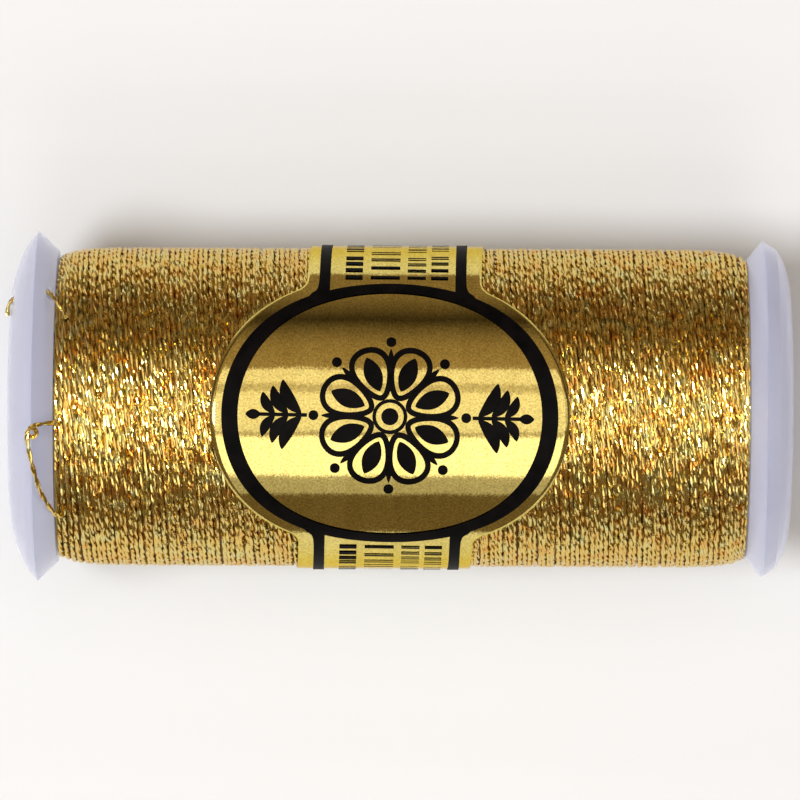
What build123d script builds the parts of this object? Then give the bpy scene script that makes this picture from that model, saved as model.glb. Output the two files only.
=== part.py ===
from build123d import *
from math import radians, tan
import os

# Snap-end thread spool lying on its side: the spool axis runs along X, the rims rest on Z = 0.
# Every size is in millimetres.

# ---- driving dimensions -------------------------------------------------------------
spool_length = 56.4  # over the two end faces
pin_bore_radius = 3.2  # clears the spool pin of a sewing machine
barrel_radius = 8.5  # outside of the barrel, under the thread
barrel_wall = 1.1
winding_radius = 11.6
winding_length = 49.8
winding_centre = 0.15  # the winding lies a little nearer the right end
winding_corner = 0.7
winding_gap = 0.02  # between the barrel and the innermost turns
thread_diameter = 0.3
left_rim_radius = 12.7
right_rim_radius = 12.2

flange_thickness = 0.9
flange_clearance = 0.05  # between the winding and each flange
rim_setback = 1.95  # from the end face of a cap back to the pointed rim
bevel_depth = 1.4  # how far the bevelled face of a flange leans outwards
lip_height = 0.45  # flat land where a flange and its cap meet
seam_gap = 0.02  # a cap at rest all but touches its flange

cap_wall = 0.8
skirt_fit = 0.05  # radial running clearance of a cap's skirt in the barrel
skirt_wall = 1.0
skirt_length = 5.6
hub_length = 7.0
hub_wall = 0.9
bead_height = 0.2
bead_width = 0.7
cap_travel = 0.8  # how far a cap pulls out before its bead stops it
groove_depth = 0.28
groove_play = 0.1  # spare length at each end of the bead's groove
bore_chamfer = 0.4

label_thickness = 0.1
label_gap = 0.02  # between the winding and the label
band_width = 12.5
badge_width = 25.7
badge_depth = 19.6  # across the badge, seen from straight above
badge_fillet = 1.6  # in the four corners between badge and band
label_centre = -0.7  # along the spool axis
badge_offset = -0.35  # the badge sits a little to the front of the top line
label_tilt = 1.5  # degrees that the label leans on the winding

thread_hole_radius = 0.36

# ---- places worked out from them ----------------------------------------------------
axis_height = left_rim_radius
end_face = spool_length / 2
rim_place = end_face - rim_setback
left_flange_face = winding_length / 2 - winding_centre + flange_clearance
right_flange_face = winding_length / 2 + winding_centre + flange_clearance
bore_radius = barrel_radius - barrel_wall
skirt_radius = bore_radius - skirt_fit
skirt_end = end_face - skirt_length
hub_end = end_face - hub_length
groove_start = skirt_end - groove_play
groove_end = skirt_end + bead_width + cap_travel + groove_play
label_radius = winding_radius + label_gap
winding_core = barrel_radius + winding_gap
thread_radius = thread_diameter / 2

spool_axis = Axis((0, 0, axis_height), (1, 0, 0))


def side_plane(outward):
    """Drawing plane of one end: local X runs outwards along the spool axis, local Y is the radius."""
    return Plane(origin=(0, 0, axis_height), x_dir=(outward, 0, 0), z_dir=(0, -outward, 0))


def corner_radii(points):
    """Corner radii of a thin cord: 0.45 of the shorter run over the tangent of half the turn."""
    radii = []
    for before, corner, after in zip(points, points[1:], points[2:]):
        run_in = corner - before
        run_out = after - corner
        half_turn = radians(run_in.get_angle(run_out) / 2)
        radii.append(0.45 * min(run_in.length, run_out.length) / tan(half_turn))
    return radii


def above_axis(points):
    """The points of a thread, given from the middle of the spool, moved up to the spool axis."""
    return [Vector(x, y, z + axis_height) for x, y, z in points]


# A stretch of loose thread: springs out of the winding, leans over the rim and goes back in.
loop_points = above_axis(
    [
        (-24.45, -8.25, 8.55),
        (-25.2, -6.95, 10.25),
        (-25.85, -5.4, 11.6),
        (-26.3, -3.7, 12.6),
        (-26.5, -1.8, 13.05),
        (-25.95, -1.2, 12.95),
        (-25.15, -1.1, 12.35),
        (-24.45, -1.25, 11.85),
    ]
)
# The outer end of the thread: off the winding, through the hole in the flange, into the cap.
tail_points = above_axis(
    [
        (-24.05, 6.5, 9.9),
        (-24.65, 7.6, 9.15),
        (-25.3, 8.25, 8.3),
        (-26.1, 8.35, 7.1),
        (-26.6, 8.15, 6.0),
    ]
)
# The last of it, out through the hole in the cap and down its face.
tip_points = above_axis(
    [
        (-26.65, 8.1, 5.85),
        (-26.95, 8.05, 5.85),
        (-27.6, 7.8, 5.9),
        (-28.12, 7.5, 5.98),
        (-28.3, 7.0, 6.02),
        (-28.32, 6.5, 6.05),
    ]
)

os.makedirs("parts", exist_ok=True)

# ---- spool body: the barrel and both flanges in one moulding ------------------------
with BuildPart() as spool_body:
    for outward, rim_radius, flange_face in (
        (-1, left_rim_radius, left_flange_face),
        (1, right_rim_radius, right_flange_face),
    ):
        flange_back = flange_face + flange_thickness
        with BuildSketch(side_plane(outward)):
            with BuildLine():
                Polyline(
                    (0, barrel_radius),
                    (flange_face, barrel_radius),
                    (flange_face, rim_radius - bevel_depth),
                    (rim_place, rim_radius),
                    (rim_place, rim_radius - lip_height),
                    (flange_back, rim_radius - lip_height - (rim_place - flange_back)),
                    (flange_back, bore_radius),
                    (groove_end, bore_radius),
                    (groove_end, bore_radius + groove_depth),
                    (groove_start, bore_radius + groove_depth),
                    (groove_start, bore_radius),
                    (0, bore_radius),
                    close=True,
                )
            make_face()
        revolve(axis=spool_axis)
    # the hole that the end of the thread goes through
    hole_start = (tail_points[1] + tail_points[2]) / 2
    hole_way = tail_points[3] - hole_start
    with BuildSketch(Plane(origin=hole_start, z_dir=hole_way)):
        Circle(thread_hole_radius)
    extrude(amount=hole_way.length, mode=Mode.SUBTRACT)
spool_body.part.label = "spool_body"
export_step(spool_body.part, "parts/spool_body.step")

# ---- snap caps: a domed disc, a skirt that plugs the barrel, and a hub for the pin --
# a dome runs from its rim to its shoulder, then curves to the flat middle of the end face
for side, outward, rim_radius, shoulder_place, shoulder_radius, flat_radius in (
    ("left", -1, left_rim_radius, 0.6, 12.0, 7.5),
    ("right", 1, right_rim_radius, 0.95, 11.64, 8.6),
):
    shoulder = (rim_place + shoulder_place, shoulder_radius)
    inner_shoulder = (shoulder[0] - 0.3 * cap_wall, shoulder[1] - cap_wall)
    wall_inside = end_face - cap_wall
    with BuildPart() as snap_cap:
        with BuildSketch(side_plane(outward)):
            with BuildLine():
                Polyline(
                    (rim_place + seam_gap, rim_radius - lip_height),
                    (rim_place + seam_gap, rim_radius),
                    shoulder,
                )
                TangentArc((end_face, flat_radius), shoulder, tangent=(0, 1))
                Polyline(
                    (end_face, flat_radius),
                    (end_face, pin_bore_radius + bore_chamfer),
                    (end_face - bore_chamfer, pin_bore_radius),
                    (hub_end, pin_bore_radius),
                    (hub_end, pin_bore_radius + hub_wall),
                    (wall_inside, pin_bore_radius + hub_wall),
                    (wall_inside, skirt_radius - skirt_wall),
                    (skirt_end, skirt_radius - skirt_wall),
                    (skirt_end, skirt_radius),
                    (skirt_end + 0.5 * bead_width, skirt_radius + bead_height),
                    (skirt_end + bead_width, skirt_radius),
                    (wall_inside, skirt_radius),
                )
                TangentArc((wall_inside, skirt_radius), inner_shoulder, tangent=(0, 1))
                Line(inner_shoulder, (rim_place + seam_gap, rim_radius - lip_height))
            make_face()
        revolve(axis=spool_axis)
        if side == "left":
            # the hole that the end of the thread comes out of
            hole_way = tip_points[3] - tip_points[1]
            with BuildSketch(Plane(origin=tip_points[1], z_dir=hole_way)):
                Circle(thread_hole_radius)
            extrude(amount=hole_way.length, mode=Mode.SUBTRACT)
    snap_cap.part.label = f"{side}_snap_cap"
    export_step(snap_cap.part, f"parts/{side}_snap_cap.step")

# ---- the winding: closed outer shape of all the wound thread ------------------------
with BuildPart() as thread_winding:
    with BuildSketch(side_plane(1)):
        with Locations((winding_centre, (winding_radius + winding_core) / 2)):
            Rectangle(winding_length, winding_radius - winding_core)
        fillet(vertices().group_by(Axis.Y)[-1], winding_corner)
    revolve(axis=spool_axis)
thread_winding.part.label = "thread_winding"
export_step(thread_winding.part, "parts/thread_winding.step")

# ---- foil label: a band round the winding that widens into an oval badge on top -----
lean = Plane.XY.rotated((0, 0, -label_tilt)).move(Location((label_centre, 0, 0)))
with BuildPart() as foil_label:
    with BuildSketch(lean):
        Rectangle(band_width, 4 * winding_radius)
    extrude(amount=axis_height)
    with BuildSketch(lean.offset(axis_height)):
        Rectangle(band_width, 4 * winding_radius)
        with Locations((0, badge_offset)):
            Ellipse(badge_width / 2, badge_depth / 2)
        inner_corners = vertices().filter_by_position(Axis.Y, -badge_depth, badge_depth)
        fillet(inner_corners, badge_fillet)
    extrude(amount=axis_height)
    with BuildSketch(side_plane(1)):
        with Locations((label_centre, label_radius + label_thickness / 2)):
            Rectangle(2 * badge_width, label_thickness)
    revolve(axis=spool_axis, mode=Mode.INTERSECT)
foil_label.part.label = "foil_label"
export_step(foil_label.part, "parts/foil_label.step")

# ---- loose thread: the loop, the end held in the flange and the tip on the cap ------
for name, points in (
    ("thread_loop", loop_points),
    ("thread_end", tail_points),
    ("thread_tip", tip_points),
):
    radii = corner_radii(points)
    print(name, "corner radii", [round(radius, 2) for radius in radii])
    with BuildPart() as loose_thread:
        with BuildLine() as route:
            FilletPolyline(*points, radius=radii)
        with BuildSketch(Plane(origin=route.line @ 0, z_dir=route.line % 0)):
            Circle(thread_radius)
        sweep()
    loose_thread.part.label = name
    export_step(loose_thread.part, f"parts/{name}.step")
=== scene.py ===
import math

import bpy
import numpy as np
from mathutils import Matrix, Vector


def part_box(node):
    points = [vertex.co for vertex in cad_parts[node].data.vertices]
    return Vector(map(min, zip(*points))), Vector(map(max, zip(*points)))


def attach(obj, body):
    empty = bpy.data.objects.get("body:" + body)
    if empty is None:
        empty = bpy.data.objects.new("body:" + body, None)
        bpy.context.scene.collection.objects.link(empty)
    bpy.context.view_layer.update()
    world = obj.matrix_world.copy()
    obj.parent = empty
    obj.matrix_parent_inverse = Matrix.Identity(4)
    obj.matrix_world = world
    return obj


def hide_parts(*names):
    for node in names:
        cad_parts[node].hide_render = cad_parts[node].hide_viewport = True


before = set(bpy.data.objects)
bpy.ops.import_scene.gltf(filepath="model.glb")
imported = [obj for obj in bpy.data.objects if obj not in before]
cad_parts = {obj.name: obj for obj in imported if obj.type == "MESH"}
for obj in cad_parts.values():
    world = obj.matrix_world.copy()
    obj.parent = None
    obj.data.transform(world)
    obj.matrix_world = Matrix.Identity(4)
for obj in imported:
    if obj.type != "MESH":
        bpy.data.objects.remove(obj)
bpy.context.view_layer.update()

MM = 0.001
random = np.random.default_rng(7)

# ---- places, from the frame ---------------------------------------------------------
winding_low, winding_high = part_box("thread_winding")
label_low, label_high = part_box("foil_label")
AXIS_Z = (winding_low.z + winding_high.z) / 2
WINDING_RADIUS = (winding_high.y - winding_low.y) / 2
WINDING_HALF = (winding_high.x - winding_low.x) / 2
WINDING_X = (winding_low.x + winding_high.x) / 2
LABEL_RADIUS = (label_high.y - label_low.y) / 2
LABEL_X = (label_low.x + label_high.x) / 2

# ---- thread -------------------------------------------------------------------------
PLY_OFFSET = 0.073 * MM  # from the middle of the strand to the middle of each ply
PLY_RADIUS = 0.104 * MM  # of a ply's faceted section
PLY_SPREAD = 1.2  # plies are pressed wider where the turns lie side by side
TWIST = 2.6 * MM  # length of one full turn of the plies
STRAND_RADIUS = PLY_OFFSET + 0.9 * PLY_RADIUS
TURN_PITCH = 0.345 * MM
TURN_LEAN = 0.5 * MM  # how far the turns swing along the spool as they go over its top
WINDING_CORNER = 0.3 * MM
END_DROP = 0.75 * MM  # how far the winding sinks towards its ends, and over what length
END_DROP_LENGTH = 1.1 * MM
UNDER_DEPTH = 0.17 * MM  # of the second layer below the first
CORE_DEPTH = 0.42 * MM  # of the core below the surface of the winding
CORE_BORE = 8.55 * MM  # radius, just clear of the barrel
TUCK_DEPTH = 0.25 * MM  # how far the first and last turn of a layer dive under
TOP_STEP, UNDER_STEP = 0.2 * MM, 0.4 * MM  # between the rings of a strand's mesh
LOOSE_STEP = 0.06 * MM

# ---- label, in millimetres on the flat foil: across the band, and along it towards the front -------
BAND_HALF = 6.25  # half the width of the band
BADGE_ACROSS = 12.85  # half the badge's size, both ways
BADGE_ALONG = 11.65
BADGE_FILLET = 1.6
BADGE_PLACE = 0.65  # middle of the badge, from the top line
BADGE_REACH = 14  # stretch on each side of that middle where the foil's mesh is fine
FOIL_LEAN = math.radians(1.5)
PRINT_LEAN = math.radians(0.9)
FOIL_THICKNESS = 0.06
BAND_OVERLAP = 3.0
OVERLAP_RISE = 0.05
RING_ACROSS = (10.86, 12.02)  # inner and outer half-width of the printed ring
RING_ALONG = (9.7, 10.65)
BORDER_LINE = (4.49, 5.27)  # inner and outer edge, from the middle of the band
PRINT_LIFT = 0.012  # of the print above the foil


# ======================================================================================
# Mesh helpers
# ======================================================================================
def mesh_object(name, verts, quads, smooth=True):
    """An object from an array of points and an array of four-cornered faces."""
    mesh = bpy.data.meshes.new(name)
    mesh.vertices.add(len(verts))
    mesh.vertices.foreach_set("co", np.asarray(verts, np.float32).ravel())
    mesh.loops.add(len(quads) * 4)
    mesh.loops.foreach_set("vertex_index", np.asarray(quads, np.int32).ravel())
    mesh.polygons.add(len(quads))
    mesh.polygons.foreach_set("loop_start", np.arange(0, len(quads) * 4, 4, dtype=np.int32))
    mesh.update(calc_edges=True)
    mesh.validate()
    mesh.polygons.foreach_set("use_smooth", np.full(len(mesh.polygons), smooth))
    piece = bpy.data.objects.new(name, mesh)
    bpy.context.scene.collection.objects.link(piece)
    return piece


def place_piece(piece, material, body, node):
    """Gives a piece its material and its body, and hides the CAD node it stands for."""
    piece.data.materials.append(material)
    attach(piece, body)
    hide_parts(node)


def grid_quads(rows, columns, joined=False):
    """Faces between rows of points; joined closes the last row onto the first."""
    row = np.arange(rows if joined else rows - 1)[:, None]
    following = (row + 1) % rows
    k = np.arange(columns - 1)[None, :]
    corners = [row * columns + k, row * columns + k + 1, following * columns + k + 1, following * columns + k]
    return np.stack(corners, axis=2).reshape(-1, 4)


def tube_quads(rings, around):
    """Faces of a tube made of rings, each of the same number of points."""
    ring = np.arange(rings - 1)[:, None] * around
    k = np.arange(around)[None, :]
    following = (k + 1) % around
    quads = np.stack([ring + k, ring + following, ring + around + following, ring + around + k], axis=2)
    return quads.reshape(-1, 4)


def join_parts(parts):
    """One set of points and faces from several."""
    verts, quads, count = [], [], 0
    for part_verts, part_quads in parts:
        verts.append(part_verts)
        quads.append(part_quads + count)
        count += len(part_verts)
    return np.concatenate(verts), np.concatenate(quads)


def smooth_noise(places, period, size, waves=5):
    """A smooth wandering value along a line, from a few sine waves of random length."""
    value = np.zeros_like(places)
    for _ in range(waves):
        length = period * random.uniform(0.5, 2.0)
        value += np.sin(2 * np.pi * places / length + random.uniform(0, 2 * np.pi))
    return value * size / math.sqrt(waves)


def ply_tube(centre, side, up, angle, roll, around):
    """Points of one ply: it winds round the middle of the strand, and its flat facets roll to and fro."""
    middle = centre + PLY_OFFSET * (np.cos(angle)[:, None] * up + np.sin(angle)[:, None] * side)
    corner = roll[:, None] + 2 * np.pi * (np.arange(around) + 0.5) / around
    section = np.cos(corner)[:, :, None] * up[:, None, :]
    section = section + PLY_SPREAD * np.sin(corner)[:, :, None] * side[:, None, :]
    return (middle[:, None, :] + PLY_RADIUS * section).reshape(-1, 3)


def twisted_strand(centre, side, up, travel, twist_angle, around):
    """Points and faces of two plies twisted round each other along a line."""
    quads = tube_quads(len(centre), around)
    plies = []
    for turn in (0, math.pi):
        roll = smooth_noise(travel, 2.8 * MM, 0.4)
        plies.append((ply_tube(centre, side, up, twist_angle + turn, roll, around), quads))
    return join_parts(plies)


def round_the_spool(x, radius, angle):
    """Points at an angle from the top line of the spool, positive towards the front."""
    return np.stack([x, -radius * np.sin(angle), AXIS_Z + radius * np.cos(angle)], axis=-1)


# ======================================================================================
# Materials
# ======================================================================================
# sockets of a colour mix node, by number because several share a name
MIX_FACTOR, MIX_A, MIX_B, MIX_RESULT = 0, 6, 7, 2


def new_material(name):
    material = bpy.data.materials.new(name)
    material.use_nodes = True
    nodes = material.node_tree.nodes
    return material, nodes, material.node_tree.links, nodes["Principled BSDF"]


def noise_node(nodes, links, scale, detail=2.0, stretch=(1, 1, 1)):
    """Noise in the object's own space, finer along an axis by its factor in stretch."""
    place = nodes.new("ShaderNodeTexCoord")
    mapping = nodes.new("ShaderNodeMapping")
    mapping.inputs["Scale"].default_value = stretch
    noise = nodes.new("ShaderNodeTexNoise")
    noise.inputs["Scale"].default_value = scale
    noise.inputs["Detail"].default_value = detail
    links.new(place.outputs["Object"], mapping.inputs["Vector"])
    links.new(mapping.outputs["Vector"], noise.inputs["Vector"])
    return noise


def ramp_node(nodes, links, source, stops):
    """A colour ramp from a list of (place, colour), fed by a value."""
    ramp = nodes.new("ShaderNodeValToRGB")
    elements = ramp.color_ramp.elements
    while len(elements) < len(stops):
        elements.new(0.5)
    for element, (place, colour) in zip(elements, stops):
        element.position = place
        element.color = (*colour, 1)
    links.new(source, ramp.inputs["Fac"])
    return ramp


def range_node(nodes, links, source, low, high):
    """Maps a value from 0.3 to 0.7 onto low to high."""
    mapped = nodes.new("ShaderNodeMapRange")
    mapped.inputs["From Min"].default_value = 0.3
    mapped.inputs["From Max"].default_value = 0.7
    mapped.inputs["To Min"].default_value = low
    mapped.inputs["To Max"].default_value = high
    links.new(source, mapped.inputs["Value"])
    return mapped


def thread_material():
    """Metallised film: gold that wanders to orange and olive, with a broken, sparkling surface."""
    material, nodes, links, shader = new_material("metallised_thread")
    tone = noise_node(nodes, links, 900, 3)
    stops = [
        (0.30, (0.76, 0.42, 0.075)),
        (0.45, (0.77, 0.55, 0.135)),
        (0.60, (0.76, 0.625, 0.20)),
        (0.74, (0.70, 0.68, 0.32)),
    ]
    colour = ramp_node(nodes, links, tone.outputs["Fac"], stops)
    links.new(colour.outputs["Color"], shader.inputs["Base Color"])
    gloss = noise_node(nodes, links, 1500, 1, (3, 1, 1))
    rough = range_node(nodes, links, gloss.outputs["Fac"], 0.07, 0.18)
    links.new(rough.outputs["Result"], shader.inputs["Roughness"])
    shader.inputs["Specular Tint"].default_value = (0.76, 0.58, 0.22, 1)
    shader.inputs["Coat Weight"].default_value = 0.75
    shader.inputs["Coat IOR"].default_value = 1.55
    shader.inputs["Coat Roughness"].default_value = 0.06
    creases = noise_node(nodes, links, 2300, 1, (3, 1, 1))
    bump = nodes.new("ShaderNodeBump")
    bump.inputs["Strength"].default_value = 0.7
    bump.inputs["Distance"].default_value = 0.04 * MM
    links.new(creases.outputs["Fac"], bump.inputs["Height"])
    links.new(bump.outputs["Normal"], shader.inputs["Normal"])
    shader.inputs["Metallic"].default_value = 1.0
    return material


def shaded_core_material():
    """The thread underneath, coloured dark with painted shade, seen between the strands of the top layer."""
    material, nodes, links, shader = new_material("thread_in_painted_shade")
    tone = noise_node(nodes, links, 700, 3)
    # painted shade: much darker than the thread's own gold, for the shade deep between the strands
    stops = [(0.35, (0.10, 0.045, 0.010)), (0.65, (0.38, 0.20, 0.05))]
    colour = ramp_node(nodes, links, tone.outputs["Fac"], stops)
    links.new(colour.outputs["Color"], shader.inputs["Base Color"])
    shader.inputs["Metallic"].default_value = 0.8
    shader.inputs["Roughness"].default_value = 0.5
    return material


def plastic_material():
    """Milky translucent plastic, faintly lilac; a weak glow stands for the light scattered inside it."""
    material, nodes, links, shader = new_material("milky_plastic")
    tone = noise_node(nodes, links, 120, 3)
    stops = [(0.3, (0.35, 0.365, 0.45)), (0.7, (0.38, 0.395, 0.48))]
    colour = ramp_node(nodes, links, tone.outputs["Fac"], stops)
    links.new(colour.outputs["Color"], shader.inputs["Base Color"])
    gloss = noise_node(nodes, links, 500, 2)
    rough = range_node(nodes, links, gloss.outputs["Fac"], 0.16, 0.24)
    links.new(rough.outputs["Result"], shader.inputs["Roughness"])
    shader.inputs["Subsurface Weight"].default_value = 1.0
    shader.inputs["Subsurface Radius"].default_value = (1.0, 1.0, 1.1)
    shader.inputs["Subsurface Scale"].default_value = 2.5 * MM
    shader.inputs["Emission Color"].default_value = (0.73, 0.76, 1.0, 1)
    shader.inputs["Emission Strength"].default_value = 0.18
    shader.inputs["IOR"].default_value = 1.49
    return material


def foil_material():
    """Brushed gold foil: its fine grain runs round the spool."""
    material, nodes, links, shader = new_material("gold_foil")
    tone = noise_node(nodes, links, 60, 2, (20, 1, 1))
    stops = [(0.3, (0.76, 0.62, 0.19)), (0.7, (0.84, 0.70, 0.23))]
    colour = ramp_node(nodes, links, tone.outputs["Fac"], stops)
    speckle = noise_node(nodes, links, 7500, 1)
    shade = range_node(nodes, links, speckle.outputs["Fac"], 0.68, 1.12)
    shaded = nodes.new("ShaderNodeMix")
    shaded.data_type = "RGBA"
    shaded.blend_type = "MULTIPLY"
    shaded.inputs[MIX_FACTOR].default_value = 1
    links.new(colour.outputs["Color"], shaded.inputs[MIX_A])
    links.new(shade.outputs["Result"], shaded.inputs[MIX_B])
    links.new(shaded.outputs[MIX_RESULT], shader.inputs["Base Color"])
    shader.inputs["Specular Tint"].default_value = (0.88, 0.72, 0.32, 1)
    grain = noise_node(nodes, links, 2600, 3, (3, 1, 1))
    rough = range_node(nodes, links, grain.outputs["Fac"], 0.06, 0.12)
    links.new(rough.outputs["Result"], shader.inputs["Roughness"])
    bump = nodes.new("ShaderNodeBump")
    bump.inputs["Strength"].default_value = 0.8
    bump.inputs["Distance"].default_value = 0.008 * MM
    links.new(grain.outputs["Fac"], bump.inputs["Height"])
    links.new(bump.outputs["Normal"], shader.inputs["Normal"])
    shader.inputs["Metallic"].default_value = 1.0
    return material


def ink_material():
    """Black print on the foil, a little glossy."""
    material, nodes, links, shader = new_material("black_print")
    tone = noise_node(nodes, links, 800, 2)
    stops = [(0.3, (0.002, 0.002, 0.002)), (0.7, (0.005, 0.004, 0.004))]
    colour = ramp_node(nodes, links, tone.outputs["Fac"], stops)
    links.new(colour.outputs["Color"], shader.inputs["Base Color"])
    shader.inputs["Roughness"].default_value = 0.5
    shader.inputs["Specular IOR Level"].default_value = 0.03
    return material


def floor_material():
    """Matt and almost even, a little bluish."""
    material, nodes, links, shader = new_material("pale_floor")
    tone = noise_node(nodes, links, 30, 4)
    stops = [(0.3, (0.75, 0.78, 0.82)), (0.7, (0.765, 0.795, 0.835))]
    colour = ramp_node(nodes, links, tone.outputs["Fac"], stops)
    links.new(colour.outputs["Color"], shader.inputs["Base Color"])
    shader.inputs["Roughness"].default_value = 0.7
    shader.inputs["Specular IOR Level"].default_value = 0.1
    return material


THREAD = thread_material()
SHADED_CORE = shaded_core_material()
PLASTIC = plastic_material()
FOIL = foil_material()
INK = ink_material()


# ======================================================================================
# Winding
# ======================================================================================
def winding_top(x):
    """Radius of the winding's surface, which sinks and rounds down at both ends."""
    from_end = np.clip(WINDING_HALF - np.abs(x - WINDING_X), 0, None)
    past = np.clip(WINDING_CORNER - from_end, 0, WINDING_CORNER)
    rounded = WINDING_RADIUS - WINDING_CORNER + np.sqrt(WINDING_CORNER**2 - past**2)
    return rounded - END_DROP * np.exp(-from_end / END_DROP_LENGTH)


def make_winding_layer(name, first_x, last_x, depth, step, bands, around):
    """One layer of thread, wound from one end to the other, cut into several pieces."""
    turns = abs(last_x - first_x) / TURN_PITCH
    count = int((turns + 2) * 2 * math.pi * WINDING_RADIUS / step)
    turn = np.linspace(-1, turns + 1, count)
    angle = 2 * math.pi * turn
    travel = angle * WINDING_RADIUS
    x = first_x + np.clip(turn / turns, 0, 1) * (last_x - first_x)
    # the turns wander along the spool, less and less within 1.5 mm of its ends
    room = np.clip(np.minimum(x - x.min(), x.max() - x) / (1.5 * MM), 0, 1)
    lean = TURN_LEAN * np.sin(angle) + smooth_noise(travel, 31 * MM, 0.04 * MM)
    wobble = smooth_noise(travel, 9 * MM, 0.02 * MM) + smooth_noise(x, 2.3 * MM, 0.05 * MM)
    x = x + room * (lean + wobble)
    tucked = np.clip(-turn, 0, 1) + np.clip(turn - turns, 0, 1)
    radius = winding_top(x) - STRAND_RADIUS - depth - TUCK_DEPTH * tucked
    radius = radius + smooth_noise(travel, 13 * MM, 0.018 * MM) - 0.02 * MM
    centre = round_the_spool(x, radius, angle)
    # outwards from the spool axis, and along it
    up = np.stack([np.zeros_like(angle), -np.sin(angle), np.cos(angle)], axis=1)
    side = np.tile([1.0, 0.0, 0.0], (count, 1))
    wander = smooth_noise(travel, 11 * MM, 1.6) + smooth_noise(travel, 3 * MM, 0.35)
    twist_angle = 2 * math.pi * travel / TWIST + wander
    cuts = np.linspace(0, count - 1, bands + 1).astype(int)
    for band, (low, high) in enumerate(zip(cuts[:-1], cuts[1:])):
        part = slice(low, high + 1)
        verts, quads = twisted_strand(
            centre[part], side[part], up[part], travel[part], twist_angle[part], around
        )
        piece = mesh_object(f"{name}_{band + 1}", verts, quads, smooth=False)
        place_piece(piece, THREAD, "spool", "thread_winding")


def make_core():
    """The wound mass under the top layers, as one turned surface."""
    around = 160
    x = np.linspace(-WINDING_HALF + 0.05 * MM, WINDING_HALF - 0.05 * MM, 260)
    radius = winding_top(x) - CORE_DEPTH
    x = np.concatenate([x[:1], x, x[-1:]])
    radius = np.concatenate([[CORE_BORE], radius, [CORE_BORE]])
    angle = np.linspace(0, 2 * np.pi, around + 1)
    places = np.broadcast_arrays(x[None, :], radius[None, :], angle[:, None])
    verts = round_the_spool(*places)[:-1]
    quads = grid_quads(around, len(x), joined=True)
    piece = mesh_object("wound_core", verts.reshape(-1, 3), quads)
    # the core carries painted shade: it is coloured darker than the thread it stands for
    place_piece(piece, SHADED_CORE, "spool", "thread_winding")


def make_winding():
    low, high = winding_low.x + STRAND_RADIUS, winding_high.x - STRAND_RADIUS
    make_winding_layer("top_thread", low, high, 0.0, TOP_STEP, 7, 6)
    make_winding_layer("under_thread", high, low, UNDER_DEPTH, UNDER_STEP, 3, 4)
    make_core()


def curve_points(points):
    """Points along a smooth curve led by the given points."""
    curve = bpy.data.curves.new("route", "CURVE")
    curve.dimensions = "3D"
    spline = curve.splines.new("NURBS")
    spline.points.add(len(points) - 1)
    for point, place in zip(spline.points, points):
        point.co = (*place, 1)
    spline.order_u = 3
    spline.use_endpoint_u = True
    spline.resolution_u = 16
    holder = bpy.data.objects.new("route", curve)
    mesh = bpy.data.meshes.new_from_object(holder)
    found = np.array([vertex.co[:] for vertex in mesh.vertices])
    bpy.data.objects.remove(holder)
    bpy.data.curves.remove(curve)
    bpy.data.meshes.remove(mesh)
    return found


def make_loose_strand(name, places, body, node):
    """A stretch of the thread that has come off the winding; places are in millimetres from the axis."""
    points = curve_points([(x * MM, y * MM, AXIS_Z + z * MM) for x, y, z in places])
    run = np.concatenate([[0], np.cumsum(np.linalg.norm(np.diff(points, axis=0), axis=1))])
    travel = np.linspace(0, run[-1], int(run[-1] / LOOSE_STEP))
    centre = np.stack([np.interp(travel, run, points[:, axis]) for axis in range(3)], axis=1)
    forward = np.gradient(centre, axis=0)
    forward /= np.linalg.norm(forward, axis=1)[:, None]
    # any direction square to the strand starts it off, and each ring then turns as little as it can
    up = [np.cross(forward[0], (0.3, 0.5, 0.8))]
    for way in forward[1:]:
        up.append(up[-1] - way * np.dot(up[-1], way))
        up[-1] /= np.linalg.norm(up[-1])
    up[0] /= np.linalg.norm(up[0])
    up = np.array(up)
    verts, quads = twisted_strand(centre, np.cross(forward, up), up, travel, 2 * math.pi * travel / TWIST, 8)
    piece = mesh_object(name, verts, quads, smooth=False)
    place_piece(piece, THREAD, body, node)


def make_loose_thread():
    """The loop that leans over the left rim, the end in the flange, and its tip on the cap."""
    loop = [
        (-24.3, -1.2, 11.2), (-24.9, -1.2, 12.1), (-25.6, -1.3, 12.75),
        (-26.2, -1.45, 13.0), (-26.5, -1.75, 13.05), (-26.4, -2.15, 13.05),
        (-26.05, -2.25, 13.1), (-25.8, -1.95, 13.25), (-25.95, -1.6, 13.4),
        (-26.35, -1.6, 13.45), (-26.55, -2.0, 13.4), (-26.45, -2.8, 13.15),
        (-26.25, -3.9, 12.65), (-26.0, -4.9, 12.1), (-25.6, -6.3, 10.95),
        (-25.0, -7.3, 9.8), (-24.6, -7.9, 8.8), (-24.2, -7.9, 7.9),
    ]
    tail = [
        (-23.9, 6.3, 9.3), (-24.3, 7.0, 9.3), (-24.7, 7.65, 9.05),
        (-25.3, 8.25, 8.3), (-26.1, 8.35, 7.1), (-26.6, 8.15, 6.0),
    ]
    tip = [
        (-26.65, 8.1, 5.85), (-26.95, 8.05, 5.85), (-27.6, 7.8, 5.9),
        (-28.12, 7.5, 5.98), (-28.25, 7.0, 6.02), (-28.27, 6.5, 6.05),
    ]
    make_loose_strand("loose_loop", loop, "spool", "thread_loop")
    make_loose_strand("thread_tail", tail, "spool", "thread_end")
    make_loose_strand("tail_tip", tip, "left_cap", "thread_tip")


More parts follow.
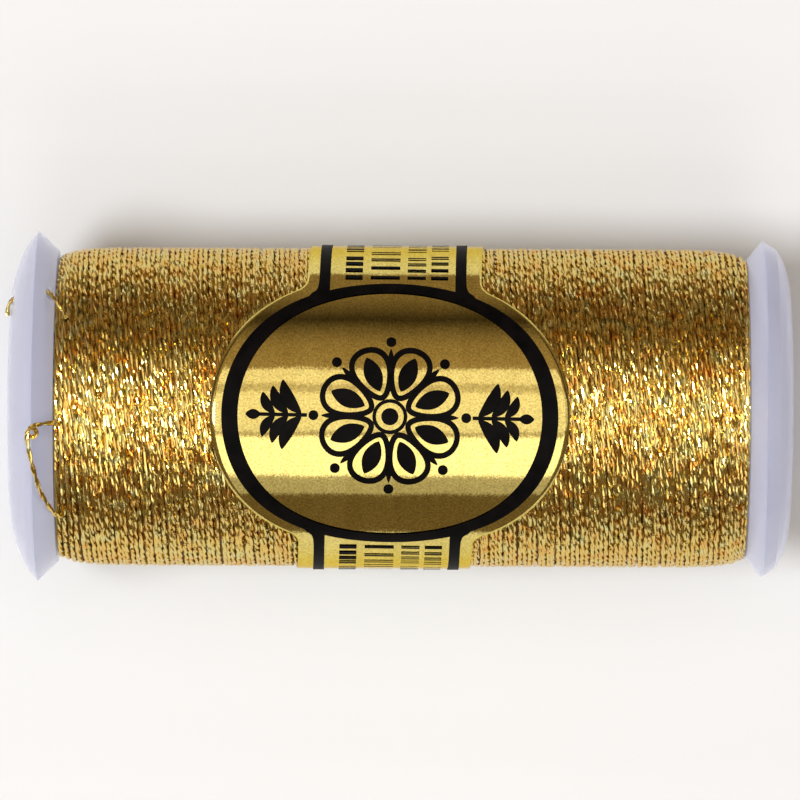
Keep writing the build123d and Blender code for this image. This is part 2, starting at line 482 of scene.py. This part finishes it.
# ======================================================================================
# Label
# ======================================================================================
def wrap_label(across, along, lift, lean):
    """Points of the flat foil laid round the winding; the end of the band rises over its start."""
    u = across * math.cos(lean) - along * math.sin(lean)
    s = across * math.sin(lean) + along * math.cos(lean)
    around = math.pi * LABEL_RADIUS / MM
    rise = np.clip((s - (around - 2 * BAND_OVERLAP)) / BAND_OVERLAP, 0, 1)
    radius = LABEL_RADIUS / MM + lift + OVERLAP_RISE * rise
    ripple = 0.006 * np.sin(2 * np.pi * u / 7.3 + 0.5 * s) * np.sin(2 * np.pi * s / 11 + 1)
    angle = s * MM / LABEL_RADIUS
    return round_the_spool(LABEL_X + u * MM, (radius + ripple) * MM, angle)


def badge_half_width(along):
    """Half the width of the label at places along it: the band, a fillet, then the badge's ellipse."""
    slope = np.linspace(0.01, math.pi / 2 - 0.01, 2000)
    edge = np.stack([BADGE_ACROSS * np.cos(slope), BADGE_ALONG * np.sin(slope)], axis=1)
    centre_across = BAND_HALF + BADGE_FILLET
    # moves the fillet's circle along the band until it touches the ellipse
    low, high = BADGE_ALONG * 0.6, BADGE_ALONG * 1.4
    for _ in range(40):
        middle = (low + high) / 2
        gap = np.hypot(edge[:, 0] - centre_across, edge[:, 1] - middle).min()
        low, high = (middle, high) if gap < BADGE_FILLET else (low, middle)
    touch = edge[np.hypot(edge[:, 0] - centre_across, edge[:, 1] - low).argmin()]
    place = np.abs(along - BADGE_PLACE)
    ellipse = BADGE_ACROSS * np.sqrt(np.clip(1 - (place / BADGE_ALONG) ** 2, 0, 1))
    fillet = centre_across - np.sqrt(np.clip(BADGE_FILLET**2 - (place - low) ** 2, 0, None))
    return np.where(place < touch[1], ellipse, np.where(place < low, fillet, BAND_HALF))


def make_foil():
    half_length = math.pi * LABEL_RADIUS / MM + BAND_OVERLAP / 2
    near = np.linspace(BADGE_PLACE - BADGE_REACH, BADGE_PLACE + BADGE_REACH, 360)
    behind = np.linspace(-half_length, near[0] - 0.3, 90)
    in_front = np.linspace(near[-1] + 0.3, half_length, 90)
    along = np.concatenate([behind, near, in_front])
    share = np.linspace(-1, 1, 61)
    across = badge_half_width(along)[:, None] * share[None, :]
    points = wrap_label(across, along[:, None] + 0 * share, 0.0, FOIL_LEAN)
    piece = mesh_object("foil_band", points.reshape(-1, 3), grid_quads(len(along), len(share)))
    shell = piece.modifiers.new("thickness", "SOLIDIFY")
    shell.thickness = FOIL_THICKNESS * MM
    shell.offset = 1
    place_piece(piece, FOIL, "spool", "foil_label")


def ribbon(path, half_width, closed=False, columns=4):
    """A flat stroke along a path, as (across, along) points and faces."""
    path = np.asarray(path, float)
    before, after = np.roll(path, 1, axis=0), np.roll(path, -1, axis=0)
    if not closed:
        before[0], after[-1] = path[0], path[-1]
    forward = after - before
    forward /= np.linalg.norm(forward, axis=1)[:, None]
    normal = np.stack([-forward[:, 1], forward[:, 0]], axis=1)
    half = np.broadcast_to(half_width, len(path))
    share = np.linspace(-1, 1, columns + 1)
    points = path[:, None, :] + (half[:, None] * share[None, :])[:, :, None] * normal[:, None, :]
    return points.reshape(-1, 2), grid_quads(len(path), columns + 1, joined=closed)


def ellipse_path(centre, across, along, count):
    """Points round an ellipse, given half its size both ways."""
    turn = np.linspace(0, 2 * np.pi, count, endpoint=False)
    return np.stack([centre[0] + across * np.cos(turn), centre[1] + along * np.sin(turn)], axis=1)


def dot(centre, radius):
    """A filled disc, as a ring stroke that reaches almost to its middle."""
    return ribbon(ellipse_path(centre, radius / 2, radius / 2, 28), radius / 2 * 0.98, closed=True, columns=3)


def leaf(start, end, width, bend=0.0, count=24):
    """A filled leaf from one point to another, widest in the middle, bent to one side."""
    start, end = np.asarray(start, float), np.asarray(end, float)
    t = np.linspace(0, 1, count)
    aside = np.array([-(end - start)[1], (end - start)[0]])
    path = start + t[:, None] * (end - start) + (bend * np.sin(np.pi * t))[:, None] * aside
    return ribbon(path, width / 2 * np.sin(np.pi * t) ** 0.75 + 0.01)


def polar(radius, degrees):
    """The point at a distance and an angle from the middle of the badge."""
    return np.array([radius * math.cos(math.radians(degrees)), radius * math.sin(math.radians(degrees))])


def petal_outline(inner, outer, width, degrees, stroke):
    """The outline of a petal that points away from the middle of the flower."""
    turn = np.linspace(0, 2 * np.pi, 64, endpoint=False)
    length = (outer - inner) / 2
    along = inner + length + length * np.cos(turn)
    aside = width / 2 * np.sin(turn) * (1 + 0.35 * np.cos(turn))
    direction, normal = polar(1, degrees), polar(1, degrees + 90)
    return ribbon(along[:, None] * direction + aside[:, None] * normal, stroke, closed=True, columns=2)


def flower_shapes():
    """An eight-petalled rosette."""
    shapes = [dot((0, 0), 0.62), ribbon(ellipse_path((0, 0), 1.12, 1.12, 48), 0.13, closed=True)]
    for petal in range(8):
        degrees = 45 * petal + 22.5
        shapes.append(petal_outline(1.45, 5.1, 2.5, degrees, 0.2))
        shapes.append(leaf(polar(1.95, degrees), polar(4.55, degrees), 1.25))
        shapes.append(leaf(polar(3.0, degrees + 22.5), polar(4.9, degrees + 22.5), 0.42))
        shapes.append(dot(polar(5.45, degrees + 22.5), 0.36))
    return shapes


def sprig_shapes():
    """A leafy sprig on each side of the flower."""
    shapes = []
    for side in (-1, 1):
        stem = np.stack([side * np.linspace(5.9, 9.4, 30), np.zeros(30)], axis=1)
        shapes.append(ribbon(stem, 0.13))
        for pair in range(3):
            root = 6.3 + 0.95 * pair
            reach = 2.5 - 0.45 * pair
            for up in (-1, 1):
                tip = (side * (root + 0.55 * reach), up * reach)
                shapes.append(leaf((side * root, up * 0.1), tip, 0.95 - 0.12 * pair, bend=-0.12 * side * up))
        shapes.append(leaf((side * 9.2, 0), (side * 10.3, 0), 0.7))
    return shapes


def frame_shapes():
    """The ring, and the two border lines that leave it along the band on both sides."""
    ring = [(RING_ACROSS[0] + RING_ACROSS[1]) / 2, (RING_ALONG[0] + RING_ALONG[1]) / 2]
    turn = np.linspace(0, 2 * np.pi, 240, endpoint=False)
    width_across, width_along = RING_ACROSS[1] - RING_ACROSS[0], RING_ALONG[1] - RING_ALONG[0]
    stroke = np.hypot(width_across * np.cos(turn), width_along * np.sin(turn)) / 2
    shapes = [ribbon(ellipse_path((0, 0), *ring, 240), stroke, closed=True)]
    middle = (BORDER_LINE[0] + BORDER_LINE[1]) / 2
    half = (BORDER_LINE[1] - BORDER_LINE[0]) / 2
    meet = ring[1] * math.sqrt(1 - (middle / ring[0]) ** 2)
    end = math.pi * LABEL_RADIUS / MM - 0.2
    for side in (-1, 1):
        for way in (-1, 1):
            along = np.linspace(meet - 0.25, end - way * BADGE_PLACE, 160)
            # the line widens where it meets the ring
            flare = 0.7 * np.exp(-np.clip(along - meet, 0, None) / 0.45)
            path = np.stack([side * (middle + 0.5 * flare), way * along], axis=1)
            shapes.append(ribbon(path, half + 0.5 * flare))
    return shapes


def bar_shapes():
    """Plain bars across the band, where a printed label has its small print."""
    # middle of a column of bars, half its width, half the thickness of a bar, spacing
    columns = [
        (-2.8, 0.62, 0.2, 0.93),
        (-0.55, 1.05, 0.13, 1.275),
        (1.7, 0.66, 0.11, 0.9),
        (3.35, 0.62, 0.13, 0.99),
    ]
    first = RING_ALONG[1] + 0.75
    shapes = []
    for way in (-1, 1):
        for middle, half, stroke, spacing in columns:
            for bar in range(18):
                # every fifth is left out, like a space between lines of print
                if bar % 5 == 4:
                    continue
                place = way * (first + bar * spacing)
                path = [(middle - half, place), (middle, place), (middle + half, place)]
                shapes.append(ribbon(path, stroke))
    return shapes


def make_print(name, shapes):
    """Shapes drawn round the middle of the badge, laid on the foil as one piece."""
    points, quads = join_parts(shapes)
    lift = FOIL_THICKNESS + PRINT_LIFT
    points = wrap_label(points[:, 0], points[:, 1] + BADGE_PLACE, lift, PRINT_LEAN)
    piece = mesh_object(name, points, quads)
    place_piece(piece, INK, "spool", "foil_label")


def make_label():
    make_foil()
    make_print("printed_frame", frame_shapes())
    make_print("printed_flower", flower_shapes() + sprig_shapes())
    make_print("printed_bars", bar_shapes())


# ======================================================================================
# Plastic
# ======================================================================================
def finish_plastic():
    """The moulded pieces are their CAD meshes with the plastic on them."""
    for node in ("spool_body", "left_snap_cap", "right_snap_cap"):
        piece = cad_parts[node]
        piece.data.materials.clear()
        piece.data.materials.append(PLASTIC)


# ======================================================================================
# Stage, in metres
# ======================================================================================
CAMERA_HEIGHT = 0.6  # above the spool axis
CAMERA_SHIFT = 0.54 * MM  # towards the back
CAMERA_ROLL = math.radians(0.25)
SENSOR_WIDTH = 36  # in millimetres, as Blender has it
VIEW_WIDTH = 0.05816  # across the picture, at the height of the spool axis
LIGHT_HEIGHT = 1.5
CEILING = (-18, 25)  # degrees along the spool that the strips overhead take up
FLOOR_WIDTH = 4
FLOOR_BACK, FLOOR_FRONT = 0.062, -0.115  # edges of the sheet


def make_floor():
    """A pale sheet, which the foil shows to end a little way behind and in front of the spool."""
    bpy.ops.mesh.primitive_plane_add(size=1, location=(0, (FLOOR_BACK + FLOOR_FRONT) / 2, 0))
    floor = bpy.context.object
    floor.scale = (FLOOR_WIDTH, FLOOR_BACK - FLOOR_FRONT, 1)
    floor.name = "floor"
    floor.data.materials.append(floor_material())


def panel(name, sideways, forwards, radiance, shape="RECTANGLE"):
    """A light overhead, between angles from straight up, in degrees: along the spool, and to the front."""
    x = [LIGHT_HEIGHT * math.tan(math.radians(a)) for a in sideways]
    y = [-LIGHT_HEIGHT * math.tan(math.radians(a)) for a in forwards]
    light = bpy.data.lights.new(name, "AREA")
    light.shape = shape
    light.size = abs(x[1] - x[0])
    light.size_y = abs(y[1] - y[0])
    filled = math.pi / 4 if shape == "ELLIPSE" else 1
    light.energy = radiance * math.pi * light.size * light.size_y * filled
    lamp = bpy.data.objects.new(name, light)
    lamp.location = (sum(x) / 2, sum(y) / 2, LIGHT_HEIGHT)
    lamp.visible_camera = False
    bpy.context.scene.collection.objects.link(lamp)


def make_lights():
    panel("key", (-38, -14), (-5.5, 14.5), 22, "ELLIPSE")
    panel("left_panel", (-64, -36), (-20, 20), 0.35)
    panel("right_panel", (26, 60), (-20, 20), 0.5)
    panel("back_strip", CEILING, (-27, -16.6), 0.85)
    panel("back_gap", CEILING, (-16.6, -10.5), 0.4)
    panel("middle_strip", CEILING, (-10.5, 17.3), 0.92)
    panel("front_gap", CEILING, (17.3, 20.5), 0.2)
    panel("front_strip", CEILING, (20.5, 49.5), 1.65)
    panel("tube", CEILING, (34.5, 38), 1.8)
    panel("front_wall", CEILING, (49.5, 64), 0.4)


def make_world():
    """A dim warm room all round, pale only where the camera looks past the floor."""
    world = bpy.data.worlds.new("room")
    world.use_nodes = True
    nodes, links = world.node_tree.nodes, world.node_tree.links
    room = nodes["Background"]
    place = nodes.new("ShaderNodeTexCoord")
    way = nodes.new("ShaderNodeSeparateXYZ")
    links.new(place.outputs["Generated"], way.inputs["Vector"])
    # brightness of the room against height, from the horizon to straight up
    behind = [
        (0.0, 0.28), (0.25, 0.14), (0.42, 0.04), (0.57, 0.2), (0.7, 0.34), (0.85, 0.42), (1.0, 0.42)
    ]
    in_front = [(0.0, 0.18), (0.3, 0.17), (0.57, 0.18), (0.8, 0.28), (1.0, 0.35)]
    warm = (1.0, 0.70, 0.40)
    back_wall, front_wall = (
        ramp_node(
            nodes, links, way.outputs["Z"], [(height, [level * c for c in warm]) for height, level in steps]
        )
        for steps in (behind, in_front)
    )
    facing = nodes.new("ShaderNodeMapRange")
    facing.inputs["From Min"].default_value = -0.1
    facing.inputs["From Max"].default_value = 0.1
    links.new(way.outputs["Y"], facing.inputs["Value"])
    walls = nodes.new("ShaderNodeMix")
    walls.data_type = "RGBA"
    links.new(facing.outputs["Result"], walls.inputs[MIX_FACTOR])
    links.new(front_wall.outputs["Color"], walls.inputs[MIX_A])
    links.new(back_wall.outputs["Color"], walls.inputs[MIX_B])
    links.new(walls.outputs[MIX_RESULT], room.inputs["Color"])
    backdrop = nodes.new("ShaderNodeBackground")
    backdrop.inputs["Color"].default_value = (0.82, 0.82, 0.81, 1)
    path = nodes.new("ShaderNodeLightPath")
    mix = nodes.new("ShaderNodeMixShader")
    links.new(path.outputs["Is Camera Ray"], mix.inputs["Fac"])
    links.new(room.outputs["Background"], mix.inputs[1])
    links.new(backdrop.outputs["Background"], mix.inputs[2])
    links.new(mix.outputs["Shader"], nodes["World Output"].inputs["Surface"])
    bpy.context.scene.world = world


def make_camera():
    """Straight above the spool and far off, rolled a little as the spool lies in view."""
    camera = bpy.data.cameras.new("camera")
    camera.sensor_width = SENSOR_WIDTH
    camera.lens = SENSOR_WIDTH * CAMERA_HEIGHT / VIEW_WIDTH
    holder = bpy.data.objects.new("camera", camera)
    holder.location = (0, CAMERA_SHIFT, AXIS_Z + CAMERA_HEIGHT)
    holder.rotation_euler = (0, 0, CAMERA_ROLL)
    bpy.context.scene.collection.objects.link(holder)
    bpy.context.scene.camera = holder


make_winding()
make_loose_thread()
make_label()
finish_plastic()
make_floor()
make_lights()
make_world()
make_camera()
bpy.context.scene.view_settings.view_transform = "Standard"
